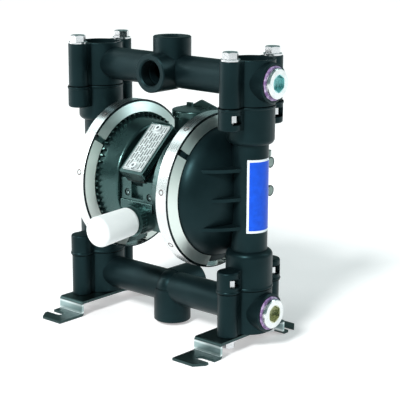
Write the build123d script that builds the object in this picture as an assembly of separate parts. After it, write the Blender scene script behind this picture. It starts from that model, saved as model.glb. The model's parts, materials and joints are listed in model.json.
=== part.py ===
"""Air operated double diaphragm pump with half inch fluid ports, as separate parts.

Millimetres. The floor is z = 0, X runs along the diaphragm shaft, +Y is the rear
and Z is up. Round parts are turned about the X axis and then lifted to the shaft.
"""

import os
from math import cos, radians, sin, sqrt

from build123d import *

os.makedirs("parts", exist_ok=True)

# Layout
foot_height = 15.0  # underside of the lower manifold above the floor
foot_thick = 2.5
foot_inside = 21.5  # from the middle of the column
foot_outside = 10.0
foot_front = 51.0  # front riser, from the shaft
foot_rear = 42.0
tab_front = 29.5
tab_rear = 25.0
slot_r = 4.2
slot_length = 13.0
slot_front = 12.5  # slot, from its riser
slot_rear = 10.5
block_height = 41.2  # manifold block, seam to outer face
cover_height = 167.6  # fluid cover, seam to seam
column_x = 95.0  # fluid columns, from the middle of the pump
bolt_y = 29.5  # manifold bolts, in front of and behind each column
seam_low = foot_height + block_height
seam_high = seam_low + cover_height
axis_z = (seam_low + seam_high) / 2
half_cover = cover_height / 2

# Fits
slide_fit = 0.05  # on the radius, between parts that slide
loose_fit = 0.3  # on the radius, round bolts
face_gap = 0.1  # between a part and the pocket that holds it

# Manifolds
block_r = 21.5
boss_r = 9.6
web_half = 8.0
pipe_r = 15.5
pipe_bore = 12.0
pipe_rise = 21.2  # pipe axis, from the seam
cup_r = 19.0  # open cup in the outer face of each block
pipe_wall_r = 14.8  # pipe that crosses the cup
end_boss_r = 17.9
end_face_x = 120.5
port_r = 17.8
port_top = 53.4  # vertical centre port, from the seam
port_front = 30.9  # horizontal centre port, from the pipe axis
small_thread_r = 9.2  # vertical centre port
small_thread_length = 16.0
small_passage_r = 8.0
large_thread_r = 11.9  # horizontal centre port and end ports
large_thread_length = 12.0
large_passage_r = 10.5
mouth = 1.4  # chamfer at each threaded mouth
edge = 0.8
plug_head_r = 13.6
plug_head = 5.2
plug_shank = 11.0
plug_hex = 14.0
bolt_r = 4.0
bolt_hex = 13.0
nut_height = 6.5

# Check valves
ball_r = 11.1
ball_rest = 5.6  # ball centre above its seam
ball_lift = 7.0
cage_r = 13.2
cage_straight = 13.0
rib_gap = 0.4
rib_thick = 3.0
rib_top = 27.0
seat_r = 16.5
seat_bore = 8.7
seat_height = 8.0
seat_cone = 1.5
groove_r = 13.9
groove_depth = 2.2
ring_r = 15.0
ring_wire = 1.05

# Fluid covers
flange_r = 67.0  # rim of the covers inside the clamp
flange_foot_r = flange_r - 5.5
dome_x = 60.3
dome_depth = 29.0
dome_wall = 3.5
dome_rim = 4.5
dome_r = flange_foot_r - 1.5
chamber_depth = dome_depth - dome_wall
chamber_r = dome_r - dome_rim
column_r = 16.4
channel_r = 10.5
gusset_half = 6.0
housing_height = 35.0
shoulder = 5.0
lug_r = 10.3
lug_height = 20.0
nut_seat = 5.5  # nut pocket, from the seam
pocket_height = 8.7
fin_pitch = 26.6
fin_thick = 3.0
fin_middle = 50.0  # the fins are parts of discs about this x
fin_r = 50.6

# Clamps
split_x = 52.25  # middle of the diaphragm bead
retainer_wall = 1.6
retainer_top_r = flange_r + 4.35
retainer_low_r = flange_r - 6.0
retainer_slope = 0.3575
strap_thick = 1.0
strap_in_r = retainer_top_r + slide_fit
strap_out_r = strap_in_r + strap_thick
strap_half = 6.15
strap_gap = 10.0  # degrees each side of the rear
flange_gap = 0.15
loop_out_r = 5.4
loop_in_r = 4.4
loop_rise = 14.0
loop_centre_r = strap_out_r + loop_out_r - 0.2
pin_r = loop_in_r - 0.15
t_bolt_r = 3.0
clamp_nut_height = 5.3
trunnion_neck = 5.7

# Diaphragms, shaft and air covers
diaphragm_thick = 3.0
bead_r = flange_r - 0.5
cup_out_r = flange_foot_r - 4.0
cup_wall = 4.0
cup_taper = 4.5  # the air cover narrows towards the centre housing
cup_in_r = cup_out_r - cup_wall
plate_r = 34.0
wave_in_r = plate_r + 4.0
wave_out_r = cup_in_r
wave_height = 5.0
air_plate_thick = 6.0
fluid_plate_thick = 5.0
shaft_r = 8.0
shaft_bolt_r = 5.0
stroke = 8.0
housing_x = 20.35  # half width of the centre housing
gasket_thick = 1.0
wall_x = housing_x + gasket_thick  # inner face of the air cover wall
wall_thick = 4.0
hub_r = 14.0
hub_length = 11.65
hub_x = wall_x + hub_length
bearing_r = 11.0
seal_thick = 3.8
cover_screw_circle = 34.0
cover_screw_r = 3.0
pilot_y = 22.0
pilot_r = 3.0
pilot_head_r = 4.8
pilot_head = 3.0
pilot_travel = 3.2

# Centre housing
core_r = 44.0
body_half = housing_x - 0.35
cheek_front = 48.0  # in front of the shaft
shelf_front = 49.5
shelf_top = axis_z - 11.5
shelf_low = axis_z - 20.5
skirt_low = axis_z - 41.0
slot_half = 7.4
hump_r = 22.0
hump_y = 32.0
hump_low = axis_z + 59.0
hump_top = axis_z + 65.0
rear_y = 52.0
inlet_z = axis_z + 45.0
inlet_thread_r = 5.56
inlet_boss_r = 13.0
inlet_face = 60.0

# Exhaust, on an axis that drops a little towards the front
exhaust_drop = 3.5
exhaust_y = 45.0
exhaust_z = axis_z - 28.0
exhaust_r = 12.0
boss_top_r = 15.5
ring_start = 4.8
ring_length = 7.2
fitting_r = 15.2
fitting_bore = 8.0
can_front_r = 14.3
can_rear_r = 13.3
can_length = 46.0

# Air valve, on a face that leans back
lean = 42.0
pad = 38.0  # pad face from the shaft axis
valve_mid = -1.4
valve_low = -31.5
valve_high = 27.5
cover_top = 50.2
cup_half = 4.6
piston_end = 16.0
piston_r = 3.95
piston_level = 44.0
valve_travel = 3.0
plate_low = 35.5


def rod_x(r, x0, x1, y=0.0, z=0.0):
    return Pos((x0 + x1) / 2, y, z) * Rot(0, 90, 0) * Cylinder(r, abs(x1 - x0))


def rod_y(r, y0, y1, x=0.0, z=0.0):
    return Pos(x, (y0 + y1) / 2, z) * Rot(90, 0, 0) * Cylinder(r, abs(y1 - y0))


def rod_z(r, z0, z1, x=0.0, y=0.0):
    return Pos(x, y, (z0 + z1) / 2) * Cylinder(r, abs(z1 - z0))


def cone_z(r0, r1, z0, z1, x=0.0, y=0.0):
    return Pos(x, y, (z0 + z1) / 2) * Cone(r0, r1, z1 - z0)


def block(x0, x1, y0, y1, z0, z1):
    middle = Pos((x0 + x1) / 2, (y0 + y1) / 2, (z0 + z1) / 2)
    return middle * Box(abs(x1 - x0), abs(y1 - y0), abs(z1 - z0))


def turned_x(*lines):
    """Turn a closed outline of (x, radius) about the X axis."""
    return revolve(make_face(Curve() + list(lines)), Axis.X, 360)


def turned_z(points):
    """Turn a closed outline of (radius, z) about the Z axis."""
    outline = Plane.XZ * make_face(Polyline(*points, close=True))
    return revolve(outline, Axis.Z, 360)


def hexagon_z(across, z0, z1, x=0.0, y=0.0, turn=0.0):
    flat = RegularPolygon(across / 2, 6, major_radius=False)
    return Pos(x, y, min(z0, z1)) * Rot(0, 0, turn) * extrude(flat, abs(z1 - z0))


def hexagon_x(across, x0, x1, y=0.0, z=0.0):
    flat = RegularPolygon(across / 2, 6, major_radius=False)
    return Pos(min(x0, x1), y, z) * Rot(0, 90, 0) * extrude(flat, abs(x1 - x0))


def top_edges(shape, axis=Axis.Z):
    return shape.edges().group_by(axis)[-1]


def low_edges(shape, axis=Axis.Z):
    return shape.edges().group_by(axis)[0]


def on_axis(shape):
    return Pos(0, 0, axis_z) * shape


def left_of(shape):
    return mirror(shape, about=Plane.YZ)


def save(shape, name):
    export_step(shape, f"parts/{name}.step")


def save_group(shapes, name):
    save(Compound(children=shapes), name)


bolt_places = [(sx * column_x, sy * bolt_y) for sx in (-1, 1) for sy in (-1, 1)]


# Ball cage: a round room above a seam, with four ribs that guide and stop the ball
def cage_room(x, seam, top):
    neck = seam + cage_straight + 9.0
    room = rod_z(cage_r, seam - 1, seam + cage_straight, x)
    room += cone_z(cage_r, channel_r, seam + cage_straight, neck, x)
    room += rod_z(channel_r, neck, top, x)
    return room


def cage_ribs(x, seam):
    stop = seam + ball_rest + ball_lift + rib_gap
    path = rod_z(ball_r + rib_gap, seam - 1, stop, x)
    path += Pos(x, 0, stop) * Sphere(ball_r + rib_gap)
    rib = block(5.0, cage_r + 1.5, -rib_thick / 2, rib_thick / 2, 0, rib_top)
    ribs = [Pos(x, 0, seam) * Rot(0, 0, turn) * rib for turn in (45, 135, 225, 315)]
    return Part() + ribs - path


# Manifolds, drawn with the seam at z = 0 and the block above it
def thread_z(r, top, length, passage, depth):
    hole = rod_z(r, top - length, top + 1)
    hole += cone_z(r, r + mouth, top - mouth, top)
    return hole + rod_z(passage, depth, top - length)


def centre_port(boss, face, axis_turn, thread_r, thread_length, passage_r):
    """A threaded port along Z from the pipe axis, turned to where it points."""
    outer = rod_z(boss, 0, face)
    outer = chamfer(top_edges(outer), edge)
    hole = thread_z(thread_r, face, thread_length, passage_r, 0)
    turn = Pos(0, 0, pipe_rise) * Rot(axis_turn, 0, 0)
    return turn * outer, turn * hole


def end_port(side):
    outer = rod_z(end_boss_r, 0, end_face_x)
    outer = chamfer(top_edges(outer), edge)
    outer -= rod_z(end_boss_r + 1, -1, column_x + 4)
    hole = thread_z(large_thread_r, end_face_x, large_thread_length, large_passage_r, column_x)
    turn = Pos(0, 0, pipe_rise) * Rot(0, side * 90, 0)
    return turn * outer, turn * hole


def manifold(with_cages):
    plan = Circle(block_r) + Rectangle(2 * web_half, 2 * bolt_y)
    plan += [Pos(0, -bolt_y) * Circle(boss_r), Pos(0, bolt_y) * Circle(boss_r)]
    end_block = extrude(plan, block_height)
    end_block = fillet(top_edges(end_block), edge)
    ends = [end_port(-1), end_port(1)]
    up = centre_port(port_r, port_top - pipe_rise, 0, small_thread_r, small_thread_length, small_passage_r)
    front = centre_port(end_boss_r, port_front, 90, large_thread_r, large_thread_length, large_passage_r)
    body = rod_x(pipe_r, -column_x, column_x, 0, pipe_rise)
    body += [Pos(x, 0, 0) * end_block for x in (-column_x, column_x)]
    body += [ends[0][0], ends[1][0], up[0], front[0]]
    body += Pos(0, 0, pipe_rise) * Sphere(port_r - 1.0)
    pipe_outside = rod_x(pipe_wall_r, -end_face_x, end_face_x, 0, pipe_rise)
    cups = [rod_z(cup_r, pipe_rise, block_height + 1, x) for x in (-column_x, column_x)]
    body -= [cup - pipe_outside for cup in cups]
    hollow = rod_x(pipe_bore, -column_x, column_x, 0, pipe_rise)
    hollow += [ends[0][1], ends[1][1], up[1], front[1]]
    for x in (-column_x, column_x):
        if with_cages:
            hollow += cage_room(x, 0, pipe_rise + 2)
            hollow -= cage_ribs(x, 0)
        else:
            hollow += rod_z(seat_r + face_gap, -1, seat_height + face_gap, x)
            hollow += rod_z(large_passage_r, 0, pipe_rise, x)
    body -= hollow
    body -= [rod_z(bolt_r + loose_fit, -1, block_height + 1, x, y) for x, y in bolt_places]
    return body


save(Pos(0, 0, seam_high) * manifold(True), "outlet_manifold")
save(Pos(0, 0, seam_low) * Rot(180, 0, 0) * manifold(False), "inlet_manifold")


# Plugs in the four end ports
def port_plug(side):
    disc = chamfer(top_edges(rod_z(plug_head_r, end_face_x, end_face_x + plug_head)), 0.9)
    shank = rod_z(large_thread_r - slide_fit, end_face_x - plug_shank, end_face_x)
    shank = chamfer(low_edges(shank), 1.2)
    plug = disc + shank - hexagon_z(plug_hex, end_face_x - 3, end_face_x + plug_head + 1)
    return Rot(0, side * 90, 0) * plug


plug_levels = (seam_low - pipe_rise, seam_high + pipe_rise)
save_group([Pos(0, 0, z) * port_plug(s) for s in (-1, 1) for z in plug_levels], "port_plugs")


# Seats, their rings and the balls
def seat():
    top = -face_gap
    foot = top - seat_height
    outline = [
        (seat_bore, foot),
        (seat_r, foot),
        (seat_r, top - groove_depth),
        (groove_r, top - groove_depth),
        (groove_r, top),
        (seat_bore + seat_cone, top),
        (seat_bore, top - seat_cone),
    ]
    return turned_z(outline)


for label, seam in (("inlet", seam_low), ("outlet", seam_high)):
    save_group([Pos(x, 0, seam) * seat() for x in (-column_x, column_x)], f"{label}_seats")
    for side, x in (("left", -column_x), ("right", column_x)):
        save(Pos(x, 0, seam + ball_rest) * Sphere(ball_r), f"{label}_ball_{side}")
ring_drop = face_gap + ring_wire + 0.05
ring_places = [(x, seam) for x in (-column_x, column_x) for seam in (seam_low, seam_high)]
rings = [Pos(x, 0, seam - ring_drop) * Torus(ring_r, ring_wire) for x, seam in ring_places]
save_group(rings, "seat_o_rings")


# Fluid covers
def flange_half(r):
    """Half width of the tapered joint at radius r, inside the clamp."""
    return strap_half - retainer_wall + retainer_slope * (retainer_top_r - r) - flange_gap


def valve_housing(side):
    """Round housing, bolt lugs and web at the upper or lower seam of a column."""
    tall = rod_z(block_r, half_cover - housing_height, half_cover, column_x)
    tall = fillet(low_edges(tall), shoulder)
    foot = half_cover - lug_height
    web = block(column_x - web_half, column_x + web_half, -bolt_y, bolt_y, foot, half_cover)
    lugs = [rod_z(lug_r, foot, half_cover, column_x, s * bolt_y) for s in (-1, 1)]
    lugs = [fillet(low_edges(lug), 2.0) for lug in lugs]
    return Rot(90 - side * 90, 0, 0) * (tall + [web] + lugs)


def nut_pocket(side, y):
    top = half_cover - nut_seat
    outer_x = column_x + lug_r + 1
    room = block(column_x - 7.6, outer_x, y - 6.65, y + 6.65, top - pocket_height, top)
    hole = rod_z(bolt_r + loose_fit, half_cover - 16, half_cover + 1, column_x, y)
    return Rot(90 - side * 90, 0, 0) * (room + hole)


def fluid_cover():
    face = split_x + diaphragm_thick / 2
    outline = Polyline(
        (face, 0),
        (face, flange_r),
        (split_x + flange_half(flange_r), flange_r),
        (split_x + flange_half(flange_foot_r), flange_foot_r),
        (dome_x, dome_r),
    )
    outer_arc = EllipticalCenterArc((dome_x, 0), dome_depth, dome_r, 0, arc_size=90)
    closing = Line((dome_x + dome_depth, 0), (face, 0))
    body = turned_x(outline, outer_arc, closing)
    body += rod_z(column_r, -half_cover, half_cover, column_x)
    body += [valve_housing(1), valve_housing(-1)]
    fin = (Pos(fin_middle, 0) * Circle(fin_r)) & (Pos(column_x, 0) * Rectangle(46, 2 * fin_r))
    fin = extrude(fin, fin_thick / 2, both=True)
    body += [Pos(0, 0, level) * fin for level in (-fin_pitch, 0, fin_pitch)]
    inside = half_cover - housing_height
    for s in (-1, 1):
        gusset = block(dome_x + 12, column_x - 4, -gusset_half, gusset_half, inside - 9, inside + 3)
        body += Rot(90 - s * 90, 0, 0) * gusset
    back = Polyline((dome_x, chamber_r), (face - 1, chamber_r), (face - 1, 0), (dome_x + chamber_depth, 0))
    inner_arc = EllipticalCenterArc((dome_x, 0), chamber_depth, chamber_r, 0, arc_size=90)
    chamber = turned_x(back, inner_arc)
    seat_room = rod_z(seat_r + face_gap, half_cover - seat_height - face_gap, half_cover + 1, column_x)
    hollow = cage_room(column_x, -half_cover, half_cover)
    hollow += [chamber, seat_room, block(78, 92, -8, 8, -22, 22)]
    hollow -= cage_ribs(column_x, -half_cover)
    body -= hollow
    body -= [nut_pocket(end, s * bolt_y) for end in (-1, 1) for s in (-1, 1)]
    return body


right_fluid_cover = on_axis(fluid_cover())
save(right_fluid_cover, "fluid_cover_right")
save(left_of(right_fluid_cover), "fluid_cover_left")


# Manifold bolts with flanged heads, and their nuts
upper_grip = block_height + nut_seat + nut_height
lower_grip = foot_thick + block_height + nut_seat + nut_height


def flange_bolt(length):
    crown = rod_z(bolt_hex, 0, 7.0) + cone_z(bolt_hex * 0.6, bolt_hex * 0.475, 7.0, 8.0)
    head = rod_z(8.75, 0, 1.6) + (hexagon_z(bolt_hex, 1.6, 8.0) & crown)
    return head + rod_z(bolt_r, -length, 0)


upper = [Pos(x, y, seam_high + block_height) * flange_bolt(upper_grip + 2.8) for x, y in bolt_places]
save_group(upper, "manifold_bolts_upper")
plate_under = foot_height - foot_thick
lower = [Pos(x, y, plate_under) * Rot(180, 0, 0) * flange_bolt(lower_grip + 2.2) for x, y in bolt_places]
save_group(lower, "manifold_bolts_lower")
nut = hexagon_z(bolt_hex, 0, nut_height) - rod_z(bolt_r + slide_fit, -1, nut_height + 1)
nut_levels = (seam_low + nut_seat, seam_high - nut_seat - nut_height)
nuts = [Pos(x, y, z) * nut for x, y in bolt_places for z in nut_levels]
save_group(nuts, "manifold_nuts")


# Feet: a bent strip under each column, with open slots for the floor bolts
def corner(face, places, r):
    near = [v for v in face.vertices() if any(abs(v.X - a) + abs(v.Y - b) < 0.01 for a, b in places)]
    return fillet(near, r)


def foot():
    in_x, out_x = column_x - foot_inside, column_x + foot_outside
    front, rear = -foot_front, foot_rear
    front_tip, rear_tip = -foot_front - tab_front, foot_rear + tab_rear
    t = foot_thick
    top = foot_height
    strip = make_face(
        Polyline(
            (front_tip, 0),
            (front + t, 0),
            (front + t, top - t),
            (rear - t, top - t),
            (rear - t, 0),
            (rear_tip, 0),
            (rear_tip, t),
            (rear, t),
            (rear, top),
            (front, top),
            (front, t),
            (front_tip, t),
            close=True,
        )
    )
    strip = corner(strip, [(front, top), (rear, top), (front + t, 0), (rear - t, 0)], 3.2)
    strip = corner(strip, [(front, t), (rear, t), (front + t, top - t), (rear - t, top - t)], 0.7)
    body = Pos(in_x, 0, 0) * extrude(Plane.YZ * strip, out_x - in_x)
    slot_x = out_x - slot_length
    bevel_x = out_x - 7
    for slot_y, tip_y, way in ((front - slot_front, front_tip, -1), (rear + slot_rear, rear_tip, 1)):
        body -= rod_z(slot_r, -1, t + 1, slot_x, slot_y)
        body -= block(slot_x, out_x + 1, slot_y - slot_r, slot_y + slot_r, -1, t + 1)
        cut = [(bevel_x, tip_y), (bevel_x, tip_y + way * 2), (out_x + 2, tip_y + way * 2)]
        cut += [(out_x + 2, tip_y - way * 12.2)]
        body -= Pos(0, 0, -1) * extrude(make_face(Polyline(*cut, close=True)), t + 2)
    body -= [rod_z(bolt_r + loose_fit, top - t - 1, top + 1, column_x, s * bolt_y) for s in (-1, 1)]
    return body


save(foot(), "foot_right")
save(left_of(foot()), "foot_left")


# Clamps: a strap over three V shaped retainers, closed at the rear by a T bolt.
# Angles run from the front (0) over the top (90) to the rear (180).
def clamp_arc(outline, start, end):
    ring = revolve(make_face(Polyline(*outline, close=True)), Axis.X, end - start)
    return Rot(180 - end, 0, 0) * ring


def clamp_strap():
    half, a, b = strap_half, strap_in_r, strap_out_r
    band = [(-half, a), (half, a), (half, b), (-half, b)]
    strap = clamp_arc(band, strap_gap - 180, 180 - strap_gap)
    y = sqrt(loop_centre_r**2 - loop_rise**2)
    for z in (-loop_rise, loop_rise):
        loop = rod_x(loop_out_r, -strap_half, strap_half, y, z)
        loop -= block(-pin_r, pin_r, y - loop_in_r, y + 8, z - 8, z + 8)
        strap += loop
        strap -= rod_x(loop_in_r, -strap_half - 1, strap_half + 1, y, z)
    return strap


def retainers():
    lean_out = retainer_slope * (retainer_top_r - retainer_low_r)
    low = strap_half + lean_out
    inner = strap_half - retainer_wall + retainer_slope * retainer_wall
    outline = [
        (-strap_half, retainer_top_r),
        (strap_half, retainer_top_r),
        (low, retainer_low_r),
        (low - retainer_wall, retainer_low_r),
        (inner, retainer_top_r - retainer_wall),
        (-inner, retainer_top_r - retainer_wall),
        (retainer_wall - low, retainer_low_r),
        (-low, retainer_low_r),
    ]
    return [clamp_arc(outline, a, b) for a, b in ((-76, 36.0), (41.0, 167), (-168, -100))]


loop_y = sqrt(loop_centre_r**2 - loop_rise**2)
t_bolt = rod_x(pin_r, -strap_half, strap_half, loop_y, -loop_rise)
nut_foot = loop_rise + trunnion_neck
nut_face = nut_foot + clamp_nut_height
t_bolt += rod_z(t_bolt_r, -loop_rise, nut_face + 6, 0, loop_y)
trunnion = rod_x(pin_r, -strap_half, strap_half, loop_y, loop_rise)
trunnion += rod_z(pin_r - slide_fit, loop_rise, nut_foot, 0, loop_y)
trunnion -= rod_z(t_bolt_r + 0.1, 0, nut_foot + 1, 0, loop_y)
clamp_nut = hexagon_z(10.0, nut_foot, nut_face, 0, loop_y)
clamp_nut -= rod_z(t_bolt_r + slide_fit, nut_foot - 1, nut_face + 1, 0, loop_y)
for side, x in (("left", -split_x), ("right", split_x)):
    save(Pos(x, 0, axis_z) * clamp_strap(), f"clamp_strap_{side}")
    save_group([Pos(x, 0, axis_z) * arc for arc in retainers()], f"clamp_retainers_{side}")
for piece, name in ((t_bolt, "clamp_t_bolts"), (trunnion, "clamp_trunnions"), (clamp_nut, "clamp_nuts")):
    save_group([Pos(x, 0, axis_z) * piece for x in (-split_x, split_x)], name)


# Diaphragms, their plates, the shaft and its end bolts
def diaphragm():
    a = split_x - diaphragm_thick / 2
    b = split_x + diaphragm_thick / 2
    wave_mid = (wave_in_r + wave_out_r) / 2
    near_side = ThreePointArc((a, wave_in_r), (a + wave_height, wave_mid), (a, wave_out_r))
    far_side = ThreePointArc((b, wave_out_r), (b + wave_height, wave_mid), (b, wave_in_r))
    outer = Polyline((a, wave_out_r), (a, bead_r), (b, bead_r), (b, wave_out_r))
    inner = Polyline((b, wave_in_r), (b, shaft_bolt_r + 0.1), (a, shaft_bolt_r + 0.1), (a, wave_in_r))
    return turned_x(near_side, outer, far_side, inner)


right_diaphragm = on_axis(diaphragm())
save(right_diaphragm, "diaphragm_right")
save(left_of(right_diaphragm), "diaphragm_left")

air_face = split_x - diaphragm_thick / 2
fluid_face = split_x + diaphragm_thick / 2
shaft_end = air_face - air_plate_thick
bolt_face = fluid_face + fluid_plate_thick


def plate(x0, x1, outboard):
    """A disc that grips the diaphragm, domed on the side away from it."""
    away = x1 if outboard else x0
    near = x0 if outboard else x1
    bore = shaft_bolt_r + 0.1
    rim = near + (away - near) * 0.35
    outline = [(near, bore), (near, plate_r - 1.5), (near + (rim - near) * 0.5, plate_r)]
    outline += [(rim, plate_r), (away, plate_r - 7.0), (away, bore)]
    return turned_x(Polyline(*outline, close=True))


air_plate = on_axis(plate(shaft_end, air_face, False))
save_group([air_plate, left_of(air_plate)], "air_side_plates")
fluid_plate = on_axis(plate(fluid_face, bolt_face, True))
save_group([fluid_plate, left_of(fluid_plate)], "fluid_side_plates")
shaft = rod_x(shaft_r, -shaft_end, shaft_end)
shaft -= [rod_x(shaft_bolt_r + slide_fit, s * 30.5, s * (shaft_end + 1)) for s in (-1, 1)]
save(on_axis(shaft), "diaphragm_shaft")
end_bolt = hexagon_x(17.0, bolt_face, bolt_face + 6.4) + rod_x(shaft_bolt_r, 30.75, bolt_face)
end_bolt = on_axis(end_bolt)
save_group([end_bolt, left_of(end_bolt)], "shaft_bolts")

# Air valve frame: X across, Y up the leaning face, Z straight out of it
valve_frame = Pos(0, 0, axis_z) * Rot(lean, 0, 0)


def on_face(y, z):
    """Point (y, z) of the pump, about the shaft axis, for a point of the valve frame."""
    a = radians(lean)
    return y * cos(a) - z * sin(a), y * sin(a) + z * cos(a)


port_pitch = 5.1
port_depth = 21.0
right_port = on_face(valve_mid + port_pitch, port_depth)
left_port = on_face(valve_mid - port_pitch, port_depth)
screw_angles = [radians(30 + 60 * n) for n in range(6)]
screw_places = [(cover_screw_circle * cos(a), cover_screw_circle * sin(a)) for a in screw_angles]


inner_wall = wall_x + wall_thick


# Air covers: a cup on each side of the centre housing, with ribs behind the flange
def air_cover():
    foot_x = split_x - flange_half(flange_foot_r)
    outline = Polyline(
        (wall_x + 3.0, cup_out_r - cup_taper),
        (foot_x, cup_out_r),
        (foot_x, flange_foot_r),
        (split_x - flange_half(flange_r), flange_r),
        (air_face, flange_r),
        (air_face, cup_in_r),
        (wall_x + wall_thick + 3, cup_in_r - cup_taper),
        (wall_x + wall_thick, cup_in_r - cup_taper - 3),
        (wall_x + wall_thick, hub_r),
        (hub_x, hub_r),
        (hub_x, bearing_r),
        (wall_x, bearing_r),
        (wall_x, cup_out_r - cup_taper - 3.0),
    )
    corner_from = (wall_x, cup_out_r - cup_taper - 3.0)
    round_edge = RadiusArc(corner_from, (wall_x + 3.0, cup_out_r - cup_taper), 3.0)
    body = turned_x(outline, round_edge)
    rib = block(foot_x - 5, foot_x + 0.5, cup_out_r - 2.0, retainer_low_r - 0.6, -0.75, 0.75)
    body += [Rot(6 * n + 3, 0, 0) * rib for n in range(60)]
    body -= [rod_x(cover_screw_r + 0.2, wall_x - 1, inner_wall + 1, y, z) for y, z in screw_places]
    body -= rod_x(pilot_r + slide_fit, wall_x - 1, inner_wall + 1, pilot_y, 0)
    return body


half_air_cover = air_cover()
air_port = [rod_x(2.5, wall_x - 1, inner_wall + 1, *place) for place in (right_port, left_port)]
save(on_axis(half_air_cover - air_port[0]), "air_cover_right")
save(on_axis(left_of(half_air_cover) - left_of(air_port[1])), "air_cover_left")


def cover_gasket(port):
    sheet = rod_x(core_r, housing_x, wall_x) - rod_x(hub_r, housing_x - 1, wall_x + 1)
    sheet -= [rod_x(cover_screw_r + 0.4, housing_x - 1, wall_x + 1, y, z) for y, z in screw_places]
    sheet -= rod_x(pilot_head_r + 0.5, housing_x - 1, wall_x + 1, pilot_y, 0)
    return sheet - rod_x(2.8, housing_x - 1, wall_x + 1, *port)


gaskets = [on_axis(cover_gasket(right_port)), on_axis(left_of(cover_gasket(left_port)))]
save_group(gaskets, "air_cover_gaskets")

screw = rod_x(5.0, inner_wall, inner_wall + 4) + rod_x(cover_screw_r, housing_x - 10, inner_wall)
screw -= hexagon_x(5.0, inner_wall + 1.5, inner_wall + 5)
cover_screws = [on_axis(Pos(0, y, z) * screw) for y, z in screw_places]
save_group(cover_screws + [left_of(s) for s in cover_screws], "air_cover_screws")

seal_foot = hub_x - 0.2 - seal_thick
bearing = rod_x(bearing_r - 0.02, wall_x + 0.05, seal_foot - 0.1) - rod_x(shaft_r + 0.04, 0, hub_x)
seal = rod_x(bearing_r - 0.02, seal_foot, hub_x - 0.2) - rod_x(shaft_r + 0.06, 0, hub_x)
save_group([on_axis(bearing), on_axis(left_of(bearing))], "shaft_bearings")
save_group([on_axis(seal), on_axis(left_of(seal))], "shaft_seals")

pin_head = wall_x - 0.2 - pilot_head - pilot_travel
pin_tip = shaft_end - stroke - 0.35
pilot_pin = rod_x(pilot_r, pin_head, pin_tip, pilot_y)
pilot_pin += rod_x(pilot_head_r, pin_head, pin_head + pilot_head, pilot_y)
pilot_pin = on_axis(pilot_pin)
save(pilot_pin, "pilot_pin_right")
save(left_of(pilot_pin), "pilot_pin_left")


# Centre housing
exhaust_frame = Pos(0, -exhaust_y, exhaust_z) * Rot(90 + exhaust_drop, 0, 0)
recess_places = ((-12.5, axis_z - 4.8), (15.2, axis_z - 6.2))  # screws in the two cheeks
recess_r = 3.5
recess_depth = 2.5


def centre_housing():
    """Solid form of the centre housing, drawn about the shaft."""
    shelf = (shelf_low - axis_z, shelf_top - axis_z)
    body = rod_x(core_r, -housing_x, housing_x)
    body += Rot(lean, 0, 0) * block(-12, 12, valve_low, valve_high, 15, pad)
    cheeks = block(-body_half, body_half, -cheek_front, -20, shelf[0], 9)
    cheeks = fillet(cheeks.edges().filter_by(Axis.X).group_by(Axis.Y)[0], 1.5)
    cheeks -= block(-slot_half, slot_half, -cheek_front - 1, -32, shelf[1] + 2, 10)
    for x, z in recess_places:
        cheeks -= rod_y(recess_r, -cheek_front - 1, recess_depth - cheek_front, x, z - axis_z)
    ledge = block(-body_half, body_half, -shelf_front, -30, *shelf)
    ledge = fillet(ledge.edges().filter_by(Axis.X).group_by(Axis.Y)[0], 1.2)
    top, low = shelf[0] + 1, skirt_low - axis_z
    skirt = Plane.YZ * make_face(Polyline((-45.5, top), (-36, low), (-20, low), (-20, top), close=True))
    skirt = Pos(-body_half, 0, 0) * extrude(skirt, 2 * body_half)
    boss = Pos(0, 0, -axis_z) * exhaust_frame * rod_z(boss_top_r, -20, ring_start - 0.1)
    low, top = hump_low - axis_z, hump_top - axis_z
    neck = rod_z(body_half - 0.5, 20, low + 1, 0, hump_y)
    neck += block(0.5 - body_half, body_half - 0.5, hump_y, rear_y, 10, low + 1)
    plan = Pos(0, hump_y) * Circle(hump_r)
    plan += Pos(0, (hump_y + rear_y) / 2) * Rectangle(2 * hump_r, rear_y - hump_y)
    cap = Pos(0, 0, low) * fillet(top_edges(extrude(plan, top - low)), 1.5)
    ridge = [(-12, top - 1), (17.5, top - 1), (17.5, top + 1), (-2.5, top + 6.8), (-12, top + 1.8)]
    gable = Rot(90, 0, 0) * extrude(make_face(Polyline(*ridge, close=True)), 3)
    gable = Pos(0, rear_y - 6, 0) * gable
    tab = block(-20.5, -14.3, rear_y - 9, rear_y - 6, top - 1, top + 2.6)
    inlet_boss = rod_y(inlet_boss_r, rear_y - 2, inlet_face, 0, inlet_z - axis_z)
    inlet_boss = chamfer(top_edges(inlet_boss, Axis.Y), 1.0)
    body += [cheeks, ledge, skirt, boss, neck, cap, gable, tab, inlet_boss]
    return body


def angled_hole(r, start, end):
    """A drilled way between two (y, z) points of the middle plane."""
    dy = end[0] - start[0]
    dz = end[1] - start[1]
    plane = Plane((0, start[0], start[1]), x_dir=(1, 0, 0), z_dir=(0, dy, dz))
    return extrude(plane * Circle(r), sqrt(dy**2 + dz**2))


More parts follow.
